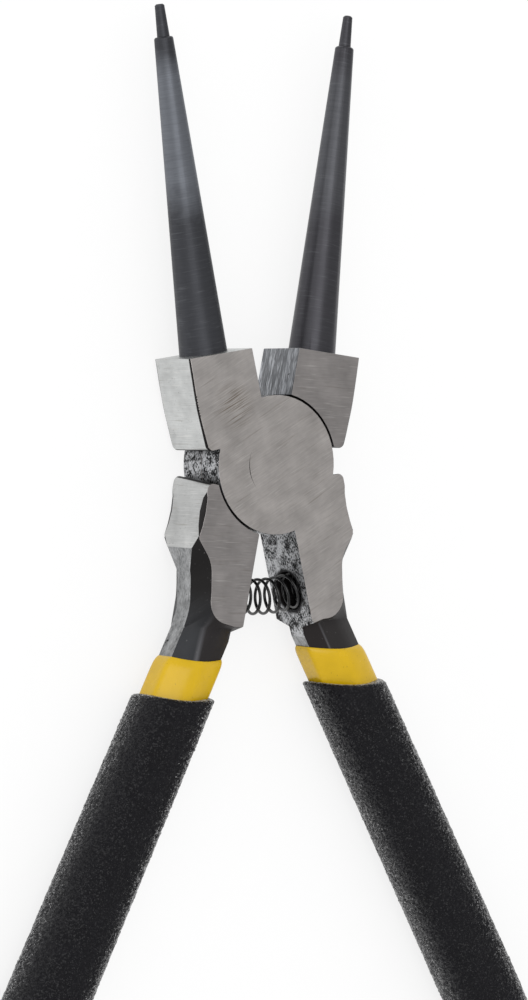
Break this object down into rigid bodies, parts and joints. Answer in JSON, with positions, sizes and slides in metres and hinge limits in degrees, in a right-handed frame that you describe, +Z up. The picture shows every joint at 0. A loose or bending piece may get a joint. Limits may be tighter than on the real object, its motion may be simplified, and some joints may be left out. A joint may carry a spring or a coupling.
{
  "type": "internal circlip pliers",
  "caption": "Straight-nosed circlip pliers for internal rings, with tapered round tips, a riveted lap joint, a return spring between the handles and dipped grips.",
  "frame": {"origin": "on the pivot axis, at the ground underside of the head", "axes": "+Y towards the tips, +X to the right, +Z up along the pivot, with the pliers lying flat"},
  "size_m": [0.1064, 0.1705, 0.0102],
  "materials": {
    "forged_steel": "ground bright on the head, black oxide on the tips and shanks",
    "rivet_steel": "ground flush with the head",
    "spring_wire": "black oxide wire",
    "undercoat": "glossy yellow dip",
    "grip": "matte black dip with a sandy texture"
  },
  "bodies": {
    "back": {"back_half": "forged_steel", "pivot_rivet": "rivet_steel", "return_spring": "spring_wire", "left_undercoat": "undercoat", "left_grip": "grip"},
    "front": {"front_half": "forged_steel", "right_undercoat": "undercoat", "right_grip": "grip"}
  },
  "joints": [
    {"name": "pivot", "type": "hinge", "parent": "back", "child": "front", "pos_m": [0, 0, 0.0046], "axis": [0, 0, 1], "range_deg": [-25, 17], "stiffness_Nm_per_rad": 0.2, "deforming": ["return_spring"]}
  ]
}
